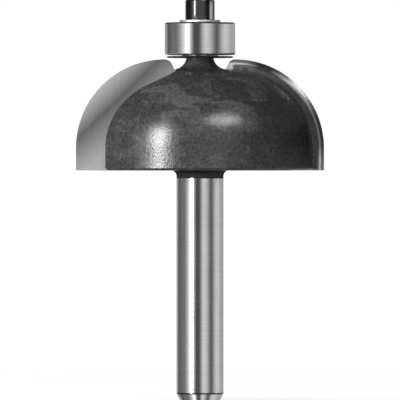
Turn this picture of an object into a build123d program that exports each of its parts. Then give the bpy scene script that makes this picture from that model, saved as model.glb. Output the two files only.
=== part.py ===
from build123d import *
import os
from math import cos, radians, sin, tan

# Bearing-guided cove router bit, in millimetres.
# +Z runs up the cutter's axis from the shank end, at Z = 0, to the guide bearing.
# The cutting faces lie in the XZ plane. Seen from +Z the cutter turns anticlockwise.

# ---- driving dimensions -------------------------------------------------
# shank and turned body
SHANK_D = 6.35            # collet size, a quarter inch
SHANK_LENGTH = 31.1       # shank end to the underside of the head
SHANK_CHAMFER_H = 0.95    # long lead-in chamfer on the shank end
SHANK_CHAMFER_R = 0.5
SHANK_FILLET = 0.8        # root fillet under the head
HEAD_EDGE = 0.25          # broken edge round the underside of the head
NECK_D = 3.75
NECK_FLARE_R = 1.9        # flare from the head's flat top up to the neck
NECK_FLARE_DEG = 71.0     # the flare stops short of upright
NECK_RISE = 0.2           # neck shoulder above the cutters' top
STUB_EDGE = 0.15

# cutting profile
COVE_R = 12.0             # radius of the cove that the bit cuts
CUT_HEIGHT = 15.0
CHIP_DEPTH = 1.35         # how far the cutting edge stands out of the head
TIP_WIDTH = 4.2
TIP_THICKNESS = 1.8
TIP_CLEARANCE_DEG = 14.0  # relief behind the cutting edge
TIP_NOSE_OVERLAP = 0.05   # flat top of the tip, inside the bearing's radius
TIP_NOSE_R = 0.95
TIP_NOSE_SLOPE_DEG = 62.0 # the nose slopes down to the head's top
LAND_STEP = 0.7           # steel land below the cutting edge
LAND_DEPTH = 0.9
LAND_RELIEF_DEG = 14.0
LAND_OVERLAP = 0.5        # start of the land's flat top, inside the bearing's radius
LAND_NOSE_R = 0.45

# chip gullets
GULLET_WIDTH = 8.7        # from the cutting face to the wall across it
GULLET_TOP_FLOOR = 3.2    # axis to the gullet floor at the head's top
GULLET_LEAN_DEG = 13.0    # the floor runs outwards towards the shank
GULLET_CORNER_R = 3.0
GULLET_FACE_CORNER_R = 0.25
TOOL_MARGIN = 2.0         # how far each cutting tool runs past the work

# guide bearing
BEARING_OD = 9.525        # three eighths of an inch
BEARING_BORE = 3.175      # an eighth of an inch
BEARING_WIDTH = 4.4
BEARING_EDGE = 0.25
BEARING_BORE_EDGE = 0.12
BALL_COUNT = 7
BALL_D = 1.5875           # a sixteenth of an inch
RACE_CONFORMITY = 0.53    # groove radius over ball diameter
RACE_CLEARANCE = 0.02     # ball to groove bottom
RACE_DEPTH = 0.28         # shoulder height beside each groove
CAGE_THICKNESS = 0.16
CAGE_BAND = 0.7           # radial width of the stamped ribbon
CAGE_CLEARANCE = 0.04     # ball to cage pocket
SHIELD_THICKNESS = 0.2
SHIELD_RECESS = 0.3       # shield below the ring's face
SHIELD_SEAT = 0.3         # shoulder that the shield rests on
SHIELD_GAP = 0.1          # shield bore to inner ring
SNAP_RING_SIZE = 0.26     # square section of the split ring over each shield
SNAP_RING_BITE = 0.08     # depth of its groove
SNAP_RING_GAP_DEG = 24.0
BORE_FIT = 0.01           # stub to bearing bore, radial

# slinger washer, clamp washer and screw
SLINGER_D = 8.9
SLINGER_THICKNESS = 0.22
SLINGER_HUB_D = 4.9       # raised hub that bears on the inner ring alone
SLINGER_HUB_H = 0.16
CLAMP_WASHER_D = 5.5
CLAMP_WASHER_THICKNESS = 0.34
CLAMP_WASHER_EDGE = 0.08
STUB_RECESS = 0.2         # stub end below the bearing's top face
SCREW_D = 2.2
SCREW_LENGTH = 6.0
SCREW_HEAD_D = 3.97
SCREW_HEAD_H = 2.75
SCREW_HEAD_EDGE = 0.22
SCREW_HEAD_FOOT_R = 0.12
SCREW_POINT = 0.3
SOCKET_AF = 1.98
SOCKET_DEPTH = 1.3
SOCKET_CONE_DEG = 59.0
THREAD_CLEARANCE = 0.02   # screw to tapped hole, radial
TAP_DRILL_EXTRA = 0.8     # hole beyond the screw's point
WASHER_CLEARANCE = 0.06   # washer bores on the stub and on the screw

# ---- derived sizes ------------------------------------------------------
shank_r = SHANK_D / 2
neck_r = NECK_D / 2
bearing_r = BEARING_OD / 2
bore_r = BEARING_BORE / 2
stub_r = bore_r - BORE_FIT
screw_r = SCREW_D / 2
ball_r = BALL_D / 2

underside_z = SHANK_LENGTH
cut_top_z = underside_z + CUT_HEIGHT
cove_centre_r = bearing_r
cove_centre_z = cut_top_z - COVE_R
head_arc_r = COVE_R - CHIP_DEPTH
head_r = cove_centre_r + head_arc_r
head_top_z = cove_centre_z + head_arc_r
tip_inner_arc_r = COVE_R - TIP_WIDTH
nose_run = TIP_NOSE_R * tan(radians(TIP_NOSE_SLOPE_DEG / 2))
nose_top_r = bearing_r - TIP_NOSE_OVERLAP - nose_run
nose_base_r = nose_top_r - CHIP_DEPTH / tan(radians(TIP_NOSE_SLOPE_DEG))
land_arc_r = COVE_R - LAND_STEP
clear_r = cove_centre_r + COVE_R + TOOL_MARGIN
clear_h = CUT_HEIGHT + TOOL_MARGIN

shoulder_z = cut_top_z + NECK_RISE
slinger_top_z = shoulder_z + SLINGER_THICKNESS
bearing_z = slinger_top_z + SLINGER_HUB_H
bearing_top_z = bearing_z + BEARING_WIDTH
race_z = bearing_z + BEARING_WIDTH / 2
stub_top_z = bearing_top_z - STUB_RECESS
screw_seat_z = bearing_top_z + CLAMP_WASHER_THICKNESS
screw_point_z = screw_seat_z - SCREW_LENGTH

pitch_r = (bearing_r + bore_r) / 2
race_groove_r = RACE_CONFORMITY * BALL_D
outer_groove_bottom = pitch_r + ball_r + RACE_CLEARANCE
inner_groove_bottom = pitch_r - ball_r - RACE_CLEARANCE
outer_land_r = outer_groove_bottom - RACE_DEPTH
inner_land_r = inner_groove_bottom + RACE_DEPTH
shield_seat_r = outer_land_r + SHIELD_SEAT
shield_bore_r = inner_land_r + SHIELD_GAP
snap_ring_r = shield_seat_r + SNAP_RING_BITE


def at_r(radius, height):
    """A point of a turned outline."""
    return (radius, height)


def turn(edges):
    """A body turned about the axis from a closed outline of radius and height."""
    return revolve(Plane.XZ * make_face(edges), axis=Axis.Z)


def round_corner(face, corner, radius):
    """Round the one corner of a flat outline that lies at a point."""
    nearest = face.vertices().sort_by_distance((*corner, 0))[0]
    return fillet(nearest, radius)


def ring(outer, inner, low, high):
    """A plain turned ring."""
    blank = Cylinder(outer, high - low, align=(Align.CENTER, Align.CENTER, Align.MIN))
    hole = Cylinder(inner, high - low, align=(Align.CENTER, Align.CENTER, Align.MIN))
    return Pos(0, 0, low) * (blank - hole)


# ---- body ---------------------------------------------------------------
def turned_blank():
    """Shank, domed head, neck and stub, turned from one bar."""
    corners = [
        at_r(0, 0),
        at_r(shank_r - SHANK_CHAMFER_R, 0),
        at_r(shank_r, SHANK_CHAMFER_H),
        at_r(shank_r, underside_z - SHANK_FILLET),
    ]
    root_end = at_r(shank_r + SHANK_FILLET, underside_z)
    rim = [
        root_end,
        at_r(head_r - HEAD_EDGE, underside_z),
        at_r(head_r, underside_z + HEAD_EDGE),
        at_r(head_r, cove_centre_z),
    ]
    flare_turn = radians(NECK_FLARE_DEG)
    flare_start = at_r(neck_r + NECK_FLARE_R * sin(flare_turn), head_top_z)
    flare_end = at_r(neck_r, head_top_z + NECK_FLARE_R * (1 - cos(flare_turn)))
    stub = [
        flare_end,
        at_r(neck_r, shoulder_z),
        at_r(stub_r, shoulder_z),
        at_r(stub_r, stub_top_z - STUB_EDGE),
        at_r(stub_r - STUB_EDGE, stub_top_z),
        at_r(0, stub_top_z),
        at_r(0, 0),
    ]
    outline = [
        Polyline(*corners),
        RadiusArc(corners[-1], root_end, SHANK_FILLET),
        Polyline(*rim),
        CenterArc((cove_centre_r, cove_centre_z), head_arc_r, 0, 90),
        Line(at_r(cove_centre_r, head_top_z), flare_start),
        RadiusArc(flare_start, flare_end, NECK_FLARE_R),
        Polyline(*stub),
    ]
    return turn(outline)


def tapped_hole():
    """Hole in the stub for the bearing screw."""
    hole_bottom = screw_point_z - TAP_DRILL_EXTRA
    hole = Cylinder(
        screw_r + THREAD_CLEARANCE,
        stub_top_z - hole_bottom,
        align=(Align.CENTER, Align.CENTER, Align.MIN),
    )
    return Pos(0, 0, hole_bottom) * hole


def cove_face(arc_r, bottom_z, flat_start_r):
    """Region under a cove-shaped outline, back to the axis."""
    top_z = cove_centre_z + arc_r
    side_r = cove_centre_r + arc_r
    outline = [
        Polyline(
            at_r(cove_centre_r, top_z),
            at_r(flat_start_r, top_z),
            at_r(flat_start_r, bottom_z),
            at_r(side_r, bottom_z),
            at_r(side_r, cove_centre_z),
        ),
        CenterArc((cove_centre_r, cove_centre_z), arc_r, 0, 90),
    ]
    return make_face(outline)


def crescent_face(outer_arc_r, bottom_z, flat_start_r):
    """Crescent from a tip's inner edge out to an arc; its nose stands on the head's top."""
    inner_r = cove_centre_r + tip_inner_arc_r
    inner_z = cove_centre_z + tip_inner_arc_r
    outer_r = cove_centre_r + outer_arc_r
    outer_z = cove_centre_z + outer_arc_r
    outline = [
        Polyline(
            at_r(cove_centre_r, outer_z),
            at_r(flat_start_r, outer_z),
            at_r(nose_base_r, head_top_z),
            at_r(nose_base_r, inner_z),
            at_r(cove_centre_r, inner_z),
        ),
        CenterArc((cove_centre_r, cove_centre_z), tip_inner_arc_r, 0, 90),
        Polyline(
            at_r(inner_r, cove_centre_z),
            at_r(inner_r, bottom_z),
            at_r(outer_r, bottom_z),
            at_r(outer_r, cove_centre_z),
        ),
        CenterArc((cove_centre_r, cove_centre_z), outer_arc_r, 0, 90),
    ]
    return make_face(outline)


def tip_face():
    """Flat cutting face of a tip."""
    face = crescent_face(COVE_R, underside_z, nose_top_r)
    return round_corner(face, at_r(nose_top_r, cut_top_z), TIP_NOSE_R)


def behind_face(face, start, depth, taper=0.0):
    """A slab that runs back from the cutting plane of the tooth on +X."""
    plane = Plane.XZ.offset(start)
    return extrude(plane * face, depth, taper=taper)


def tooth_land():
    """Steel that stands proud of the head behind the tip on +X."""
    start_r = bearing_r - LAND_OVERLAP
    face = cove_face(land_arc_r, underside_z - TOOL_MARGIN, start_r)
    face = round_corner(face, at_r(start_r, cove_centre_z + land_arc_r), LAND_NOSE_R)
    slab = behind_face(face, TIP_THICKNESS, LAND_DEPTH, LAND_RELIEF_DEG)
    above = Cylinder(clear_r, clear_h, align=(Align.CENTER, Align.CENTER, Align.MIN))
    return slab & Pos(0, 0, underside_z) * above


def gullet():
    """Space in front of the tip on -X; its floor leans out towards the shank."""
    floor_line = Plane.XY * Pos(-GULLET_TOP_FLOOR, 0, head_top_z) * Rot(0, GULLET_LEAN_DEG, 0)
    mouth = Rectangle(clear_r, GULLET_WIDTH, align=(Align.MAX, Align.MAX))
    mouth = round_corner(mouth, (0, -GULLET_WIDTH), GULLET_CORNER_R)
    mouth = round_corner(mouth, (0, 0), GULLET_FACE_CORNER_R)
    slot = extrude(mouth, clear_h) + extrude(mouth, -clear_h - clear_r)
    return floor_line * slot


def bit_body():
    """One-piece steel body with two lands, two gullets and two tip seats."""
    body = turned_blank()
    for side in (0, 180):
        body += Rot(0, 0, side) * tooth_land()
    seat_face = crescent_face(COVE_R + TOOL_MARGIN, underside_z - TOOL_MARGIN, nose_base_r)
    seat = behind_face(seat_face, 0, TIP_THICKNESS)
    for side in (0, 180):
        body -= Rot(0, 0, side) * seat
        body -= Rot(0, 0, side) * gullet()
    return body - tapped_hole()


def carbide_tip(side):
    """Brazed carbide tip: a flat face, and relief behind the cutting edge."""
    blank = behind_face(tip_face(), 0, TIP_THICKNESS)
    envelope = behind_face(
        cove_face(COVE_R, underside_z - TOOL_MARGIN, -cove_centre_r),
        0,
        TIP_THICKNESS,
        TIP_CLEARANCE_DEG,
    )
    return Rot(0, 0, side) * (blank & envelope)


# ---- guide bearing ------------------------------------------------------
def race_groove(centre_r):
    """Ball groove cutter, a full torus at the race."""
    return Pos(0, 0, race_z) * Torus(centre_r, race_groove_r)


def ball_centre(index):
    angle = 360 / BALL_COUNT * index
    return Pos(0, 0, race_z) * Rot(0, 0, angle) * Pos(pitch_r, 0, 0)


def bearing_outer_ring():
    blank = ring(bearing_r, outer_land_r, bearing_z, bearing_top_z)
    rims = blank.edges().filter_by(GeomType.CIRCLE).group_by(SortBy.RADIUS)[-1]
    blank = fillet(rims, BEARING_EDGE)
    blank -= race_groove(outer_groove_bottom - race_groove_r)
    seat_depth = SHIELD_RECESS + SHIELD_THICKNESS
    blank -= ring(shield_seat_r, pitch_r, bearing_z, bearing_z + seat_depth)
    blank -= ring(shield_seat_r, pitch_r, bearing_top_z - seat_depth, bearing_top_z)
    for low_z in snap_ring_heights():
        blank -= ring(snap_ring_r, pitch_r, low_z, low_z + SNAP_RING_SIZE)
    return blank


def bearing_inner_ring():
    blank = ring(inner_land_r, bore_r, bearing_z, bearing_top_z)
    rims = blank.edges().filter_by(GeomType.CIRCLE).group_by(SortBy.RADIUS)[0]
    blank = chamfer(rims, BEARING_BORE_EDGE)
    return blank - race_groove(inner_groove_bottom + race_groove_r)


def ball(index):
    return ball_centre(index) * Sphere(ball_r)


def pocket(index, radius):
    """Round bar that lies radially through a ball's centre."""
    return ball_centre(index) * Rot(0, 90, 0) * Cylinder(radius, CAGE_BAND + TOOL_MARGIN)


def cage_upper():
    """Stamped ribbon: flat between the balls, arched over each of them."""
    pocket_r = ball_r + CAGE_CLEARANCE
    outer, inner = pitch_r + CAGE_BAND / 2, pitch_r - CAGE_BAND / 2
    ribbon = ring(outer, inner, race_z, race_z + CAGE_THICKNESS)
    band = ring(outer, inner, race_z, race_z + BALL_D)
    for index in range(BALL_COUNT):
        ribbon += band & pocket(index, pocket_r + CAGE_THICKNESS)
    for index in range(BALL_COUNT):
        ribbon -= pocket(index, pocket_r)
    return ribbon


def cage_lower():
    return Pos(0, 0, race_z) * mirror(Pos(0, 0, -race_z) * cage_upper(), about=Plane.XY)


def shield_heights():
    """Lower face of each shield."""
    low = bearing_z + SHIELD_RECESS
    high = bearing_top_z - SHIELD_RECESS - SHIELD_THICKNESS
    return low, high


def snap_ring_heights():
    """Lower face of each snap ring, outside its shield."""
    low, high = shield_heights()
    return low - SNAP_RING_SIZE, high + SHIELD_THICKNESS


def shield(low_z):
    return ring(shield_seat_r, shield_bore_r, low_z, low_z + SHIELD_THICKNESS)


def snap_ring(low_z):
    """Open ring of square wire that springs into the outer ring."""
    section = Pos(snap_ring_r, low_z) * Rectangle(
        SNAP_RING_SIZE, SNAP_RING_SIZE, align=(Align.MAX, Align.MIN)
    )
    start = SNAP_RING_GAP_DEG / 2
    return Rot(0, 0, start) * revolve(Plane.XZ * section, Axis.Z, 360 - SNAP_RING_GAP_DEG)


# ---- washers and screw --------------------------------------------------
def slinger_washer():
    """Thin disc with a raised hub that lifts the bearing's inner ring."""
    bore = stub_r + WASHER_CLEARANCE
    disc = ring(SLINGER_D / 2, bore, shoulder_z, slinger_top_z)
    hub = ring(SLINGER_HUB_D / 2, bore, slinger_top_z, bearing_z)
    return disc + hub


def clamp_washer():
    bore = screw_r + WASHER_CLEARANCE
    washer = ring(CLAMP_WASHER_D / 2, bore, bearing_top_z, screw_seat_z)
    rims = washer.edges().filter_by(GeomType.CIRCLE).group_by(SortBy.RADIUS)[-1]
    return chamfer(rims, CLAMP_WASHER_EDGE)


def cap_screw():
    """Hexagon socket cap screw; its shank is plain at the thread's outer size."""
    head_r = SCREW_HEAD_D / 2
    head_top = screw_seat_z + SCREW_HEAD_H
    outline = Polyline(
        at_r(0, screw_point_z),
        at_r(screw_r - SCREW_POINT, screw_point_z),
        at_r(screw_r, screw_point_z + SCREW_POINT),
        at_r(screw_r, screw_seat_z),
        at_r(head_r, screw_seat_z),
        at_r(head_r, head_top),
        at_r(0, head_top),
        close=True,
    )
    screw = turn(outline)
    rims = screw.edges().filter_by(GeomType.CIRCLE).group_by(SortBy.RADIUS)[-1].sort_by(Axis.Z)
    screw = fillet(rims[0], SCREW_HEAD_FOOT_R)
    rims = screw.edges().filter_by(GeomType.CIRCLE).group_by(Axis.Z)[-1]
    screw = fillet(rims, SCREW_HEAD_EDGE)
    socket_r = SOCKET_AF / 2
    hexagon = RegularPolygon(socket_r, 6, major_radius=False)
    socket = extrude(Pos(0, 0, head_top) * hexagon, -SOCKET_DEPTH)
    cone_h = socket_r / tan(radians(SOCKET_CONE_DEG))
    drill = Cone(0, socket_r, cone_h, align=(Align.CENTER, Align.CENTER, Align.MAX))
    return screw - socket - Pos(0, 0, head_top - SOCKET_DEPTH) * drill


def all_nodes():
    """Every piece, by node name."""
    low_shield, high_shield = shield_heights()
    low_snap, high_snap = snap_ring_heights()
    nodes = {
        "bit_body": bit_body(),
        "carbide_tip_1": carbide_tip(180),
        "carbide_tip_2": carbide_tip(0),
        "slinger_washer": slinger_washer(),
        "bearing_inner_ring": bearing_inner_ring(),
        "bearing_outer_ring": bearing_outer_ring(),
        "cage_lower": cage_lower(),
        "cage_upper": cage_upper(),
        "shield_lower": shield(low_shield),
        "shield_upper": shield(high_shield),
        "snap_ring_lower": snap_ring(low_snap),
        "snap_ring_upper": snap_ring(high_snap),
        "clamp_washer": clamp_washer(),
        "cap_screw": cap_screw(),
    }
    for index in range(BALL_COUNT):
        nodes[f"ball_{index + 1}"] = ball(index)
    return nodes


os.makedirs("parts", exist_ok=True)
for name, piece in all_nodes().items():
    export_step(piece, f"parts/{name}.step")
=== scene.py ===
import bmesh
import bpy
import math
from mathutils import Matrix, Vector


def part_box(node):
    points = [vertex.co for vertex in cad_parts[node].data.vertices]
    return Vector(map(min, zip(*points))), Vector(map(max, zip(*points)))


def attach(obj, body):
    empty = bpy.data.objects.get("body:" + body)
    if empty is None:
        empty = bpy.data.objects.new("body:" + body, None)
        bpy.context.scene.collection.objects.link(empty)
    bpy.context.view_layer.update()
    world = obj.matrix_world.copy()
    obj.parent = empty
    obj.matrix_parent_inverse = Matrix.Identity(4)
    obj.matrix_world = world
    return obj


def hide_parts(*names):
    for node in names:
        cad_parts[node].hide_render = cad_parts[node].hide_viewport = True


bl_info = {
    "name": "Cove router bit",
    "version": (1, 0, 0),
    "blender": (4, 5, 0),
    "location": "3D View > Sidebar > Router Bit",
    "description": "A bearing-guided cove router bit, dressed over its solid frame",
    "category": "Add Mesh",
}

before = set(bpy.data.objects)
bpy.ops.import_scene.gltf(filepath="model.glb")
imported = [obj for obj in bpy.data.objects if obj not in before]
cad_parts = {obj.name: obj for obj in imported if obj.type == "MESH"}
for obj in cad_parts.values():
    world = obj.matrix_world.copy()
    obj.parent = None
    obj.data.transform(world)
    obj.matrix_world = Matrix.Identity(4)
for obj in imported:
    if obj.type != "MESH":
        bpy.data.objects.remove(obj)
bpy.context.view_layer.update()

MM = 0.001
FULL_TURN = 2 * math.pi
MERGE_DISTANCE = 1e-4      # in millimetres, the unit that every piece is shaped in
SMOOTH_ANGLE = math.radians(24)
OVERCUT = 2.0              # how far a cutting tool runs past the work, in millimetres
SEAT_PASS = 0.01           # how far the seat's tool runs past the cutting plane, in millimetres
LAND_ROOT = 0.5            # how far the land starts inside the tip's seat, in millimetres
SHEET_ROUND = 0.05         # rounded edges of the slinger and the shields, in millimetres
DEGREES = 180.0 / math.pi  # degrees in a radian
# How many steps a full turn, an arc or a round is made of.
BODY_STEPS = 216
RING_STEPS = 144
ARC_STEPS = 40
FLARE_STEPS = 12
GROOVE_STEPS = 12
NOSE_STEPS = 10
GULLET_STEPS = 10
ROOT_STEPS = 8
ROUND_STEPS = 5
EDGE_STEPS = 3
CHAMFER = 1                # one step makes a round a chamfer
DRILL_SIDES = 48


# ---- what a user would change -------------------------------------------
def length(name, description, millimetres):
    return bpy.props.FloatProperty(
        name=name, description=description, default=millimetres * MM, min=0.0,
        subtype="DISTANCE", unit="LENGTH", precision=5,
    )


def angle(name, description, degrees):
    return bpy.props.FloatProperty(
        name=name, description=description, default=math.radians(degrees), subtype="ANGLE"
    )


def grey(name, description, value):
    return bpy.props.FloatVectorProperty(
        name=name, description=description, default=(value,) * 3, subtype="COLOR", min=0.0, max=1.0
    )


def share(name, description, value):
    return bpy.props.FloatProperty(
        name=name, description=description, default=value, min=0.0, max=1.0, subtype="FACTOR"
    )


class BodySizes(bpy.types.PropertyGroup):
    shank_diameter: length("Shank diameter", "Size of collet that takes the bit", 6.35)
    shank_length: length("Shank length", "From the shank's end to the head's underside", 31.1)
    lead_in_height: length("Lead-in height", "Long chamfer on the shank's end", 0.95)
    lead_in_depth: length("Lead-in depth", "Radial size of that chamfer", 0.5)
    root_round: length("Root round", "Fillet between shank and head", 0.8)
    collar_height: length("Collar height", "Coated length of shank below the head", 1.1)
    head_edge: length("Head edge", "Broken edge round the head's underside", 0.25)
    cove_radius: length("Cove radius", "Radius of the cove that the bit cuts", 12.0)
    cut_height: length("Cutting height", "From the head's underside to the cutters' top", 15.0)
    chip_depth: length("Chip depth", "How far the cutting edge stands out of the head", 1.35)
    neck_diameter: length("Neck diameter", "Neck under the bearing", 3.75)
    neck_flare: length("Neck flare", "Radius of the flare from the head up to the neck", 1.9)
    flare_turn: angle("Flare turn", "How far the flare turns before the neck", 71.0)
    neck_rise: length("Neck rise", "Neck shoulder above the cutters' top", 0.2)
    stub_edge: length("Stub edge", "Chamfer at the top of the stub", 0.15)


class ToothSizes(bpy.types.PropertyGroup):
    tip_width: length("Tip width", "Width of the carbide crescent", 4.2)
    tip_thickness: length("Tip thickness", "Thickness of the carbide", 1.8)
    tip_relief: angle("Tip relief", "Clearance behind the cutting edge", 14.0)
    nose_overlap: length("Nose overlap", "Flat top of the tip, inside the bearing's radius", 0.05)
    nose_round: length("Nose round", "Rounded corner of the tip's nose", 0.95)
    nose_slope: angle("Nose slope", "Slope of the nose down to the head's top", 62.0)
    land_step: length("Land step", "Steel land below the cutting edge", 0.7)
    land_depth: length("Land depth", "Thickness of the land behind the tip", 0.9)
    land_relief: angle("Land relief", "Clearance of the land", 14.0)
    land_start: length("Land start", "Radius where the land's flat top starts", 4.2625)
    land_round: length("Land round", "Rounded corner of the land's nose", 0.45)
    gullet_width: length("Gullet width", "From the cutting face to the wall across it", 8.7)
    gullet_floor: length("Gullet floor", "Axis to the gullet's floor at the head's top", 3.2)
    gullet_lean: angle("Gullet lean", "Slope of the gullet's floor", 13.0)
    gullet_corner: length("Gullet corner", "Rounded corner of the gullet's floor", 3.0)
    face_corner: length("Face corner", "Small round below the cutting face", 0.25)


class BearingSizes(bpy.types.PropertyGroup):
    outer_diameter: length("Outside diameter", "Running diameter of the bearing", 9.525)
    bore: length("Bore", "Bore of the bearing", 3.175)
    width: length("Width", "Width of the bearing", 4.4)
    edge_round: length("Edge round", "Rounded outer edges", 0.25)
    ball_diameter: length("Ball diameter", "Diameter of the balls", 1.5875)
    groove_radius: length("Groove radius", "Radius of the ball grooves", 0.8414)
    ball_clearance: length("Ball clearance", "Ball to the groove's bottom", 0.02)
    groove_depth: length("Groove depth", "Shoulder beside the groove", 0.28)
    shield_thickness: length("Shield thickness", "Thickness of each shield", 0.2)
    shield_recess: length("Shield recess", "Shield below the ring's face", 0.3)
    shield_seat: length("Shield seat", "Shoulder that each shield rests on", 0.3)
    shield_gap: length("Shield gap", "Shield's bore to the inner ring", 0.1)
    snap_size: length("Snap ring size", "Section of each snap ring", 0.26)
    snap_bite: length("Snap ring bite", "Depth of its groove", 0.08)
    snap_gap: angle("Snap ring gap", "Opening of each snap ring", 24.0)
    wire_round: length("Wire round", "Rounded corners of the snap ring's wire", 0.05)


class StackSizes(bpy.types.PropertyGroup):
    bore_fit: length("Bore fit", "Stub to bearing bore, radial", 0.01)
    slinger_diameter: length("Slinger diameter", "Thin washer under the bearing", 8.9)
    slinger_thickness: length("Slinger thickness", "Thickness of that washer", 0.22)
    hub_diameter: length("Hub diameter", "Raised hub under the inner ring", 4.9)
    hub_height: length("Hub height", "Height of the hub", 0.16)
    washer_diameter: length("Clamp washer diameter", "Washer under the screw", 5.5)
    washer_thickness: length("Clamp washer thickness", "Thickness of that washer", 0.34)
    washer_edge: length("Clamp washer edge", "Chamfer of that washer", 0.08)
    washer_clearance: length("Washer clearance", "Washer bores, radial", 0.06)
    stub_recess: length("Stub recess", "Stub's end below the bearing's face", 0.2)
    screw_diameter: length("Screw diameter", "Diameter of the screw's thread", 2.2)
    screw_length: length("Screw length", "Length under the head", 6.0)
    screw_point: length("Screw point", "Chamfer of the screw's point", 0.3)
    screw_head_diameter: length("Screw head diameter", "Diameter of the head", 3.97)
    screw_head_height: length("Screw head height", "Height of the head", 2.75)
    screw_head_round: length("Screw head round", "Rounded top edge of the head", 0.22)
    screw_foot_round: length("Screw foot round", "Rounded bottom edge of the head", 0.12)
    socket_width: length("Socket width", "Across the flats of the hexagon", 1.98)
    socket_depth: length("Socket depth", "Depth of the hexagon", 1.3)
    socket_cone: angle("Socket cone", "Half angle of the drill point below it", 59.0)
    thread_clearance: length("Thread clearance", "Screw to its hole, radial", 0.02)
    hole_extra: length("Hole beyond screw", "Hole beyond the screw's point", 0.8)


class Finishes(bpy.types.PropertyGroup):
    coating: grey("Coating", "Baked coating on the head", 0.034)
    # Its pale colour also paints light onto the neck and the upper head.
    coating_pale_and_painted_light: grey("Coating bloom", "Lighter clouds in the coating", 0.130)
    collar: grey("Collar", "Thin coating on the shank's neck", 0.07)
    coating_roughness: share("Coating roughness", "Roughness of the coating", 0.22)
    ground_steel: grey("Ground steel", "Shank below the coating", 0.80)
    ground_roughness: share("Ground roughness", "Roughness of the ground shank", 0.10)
    bearing_steel: grey("Bearing steel", "Ground and polished rings", 0.80)
    bearing_roughness: share("Bearing roughness", "Roughness of the rings", 0.10)
    # The carbide's two tones are the ends of a reflection painted across the tips' faces.
    carbide_dark: grey("Carbide, dark", "Darkest tone of the ground carbide", 0.16)
    carbide_light: grey("Carbide, light", "Lightest tone of the ground carbide", 0.56)
    carbide_roughness: share("Carbide roughness", "Roughness of the carbide", 0.34)
    hub_steel: grey("Slinger hub", "Pale face of the slinger's hub", 0.95)
    # The relief's two tones are the ends of highlights painted round the tips' relief.
    relief_painted_dark: grey("Relief, dark", "Darkest tone of the tips' relief", 0.04)
    relief_painted_light: grey("Relief, light", "Lightest tone of the tips' relief", 0.95)
    black_oxide: grey("Black oxide", "Screw and slinger", 0.085)
    worn_steel: grey("Worn steel", "Steel showing through the screw's oxide", 0.55)
    washer_steel: grey("Washer steel", "Clamp washer", 0.78)
    sheet_steel: grey("Sheet steel", "Shields and cage", 0.55)


class Stage(bpy.types.PropertyGroup):
    floor_size: length("Floor size", "Side of the floor", 1200.0)
    floor_grey: grey("Floor", "Colour of the floor", 0.78)
    camera_distance: length("Camera distance", "Camera to the bit's axis", 1500.0)
    camera_height: length("Camera height", "Camera above the floor", 27.095)
    view_width: length("View width", "Width of the picture at the bit", 54.054)


# ---- mesh tools, in millimetres -----------------------------------------
class Outline:
    """A wire outline of radius and height, drawn in the XZ plane."""

    def __init__(self, radius, height):
        self.bm = bmesh.new()
        self.first = self.last = self.bm.verts.new((radius, 0, height))
        self.rounds = []

    def to(self, radius, height, round_radius=0.0, steps=ROUND_STEPS):
        """A straight run; its end corner may be rounded, or chamfered with one step."""
        vert = self.bm.verts.new((radius, 0, height))
        self.bm.edges.new((self.last, vert))
        self.last = vert
        if round_radius:
            self.rounds.append((vert, round_radius, steps))
        return self

    def arc(self, centre_radius, centre_height, degrees, steps):
        """An arc from the last point round a centre."""
        made = bmesh.ops.spin(
            self.bm,
            geom=[self.last],
            cent=(centre_radius, 0, centre_height),
            axis=(0, 1, 0),
            angle=math.radians(degrees),
            steps=steps,
            use_duplicate=False,
        )
        self.last = [g for g in made["geom_last"] if isinstance(g, bmesh.types.BMVert)][0]
        return self

    def close(self):
        self.bm.edges.new((self.last, self.first))
        return self

    def rounded(self):
        """The outline's bmesh, once every marked corner is rounded."""
        for vert, radius, steps in self.rounds:
            runs = [(edge.other_vert(vert).co - vert.co).normalized() for edge in vert.link_edges]
            reach = radius / math.tan(runs[0].angle(runs[1]) / 2)
            bmesh.ops.bevel(
                self.bm, geom=[vert], offset=reach, offset_type="OFFSET", affect="VERTICES",
                segments=steps, profile=0.5, material=-1, clamp_overlap=False,
            )
        bmesh.ops.remove_doubles(self.bm, verts=self.bm.verts[:], dist=MERGE_DISTANCE)
        return self.bm


def turn(outline, steps, sweep=FULL_TURN):
    """Turns an outline about the bit's axis."""
    bm = outline.rounded()
    full = sweep == FULL_TURN
    if not full:
        bmesh.ops.edgenet_fill(bm, edges=bm.edges[:])
    bmesh.ops.spin(
        bm, geom=bm.verts[:] + bm.edges[:] + bm.faces[:], cent=(0, 0, 0), axis=(0, 0, 1),
        angle=sweep, steps=steps, use_merge=full,
    )
    return tidy(bm)


def slab(outline, front, depth, relief=0.0, root=0.0):
    """A plate behind the XZ plane: it starts at front, and its edge may lean in with depth."""
    bm = outline.rounded()
    face = bmesh.ops.edgenet_fill(bm, edges=bm.edges[:])["faces"][0]
    face.normal_update()
    if face.normal.y > 0:
        face.normal_flip()
    bmesh.ops.translate(bm, verts=bm.verts[:], vec=(0, root - front, 0))
    if root:
        face = push(bm, face, root)
    if relief:
        bmesh.ops.inset_region(
            bm, faces=[face], thickness=depth * math.tan(relief), depth=depth,
            use_even_offset=True, use_boundary=True,
        )
    else:
        push(bm, face, depth)
    bmesh.ops.holes_fill(bm, edges=[edge for edge in bm.edges if edge.is_boundary])
    return tidy(bm)


def push(bm, face, depth):
    """Moves a face back by a depth and walls the way."""
    made = bmesh.ops.extrude_face_region(bm, geom=[face])["geom"]
    bmesh.ops.translate(
        bm, verts=[g for g in made if isinstance(g, bmesh.types.BMVert)], vec=(0, -depth, 0)
    )
    if face.is_valid:
        bmesh.ops.delete(bm, geom=[face], context="FACES_ONLY")
    return [g for g in made if isinstance(g, bmesh.types.BMFace)][0]


def tidy(bm):
    bmesh.ops.remove_doubles(bm, verts=bm.verts[:], dist=MERGE_DISTANCE)
    bmesh.ops.recalc_face_normals(bm, faces=bm.faces[:])
    return bm


def as_object(bm, name):
    mesh = bpy.data.meshes.new(name)
    bm.to_mesh(mesh)
    bm.free()
    return in_scene(name, mesh)


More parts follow.
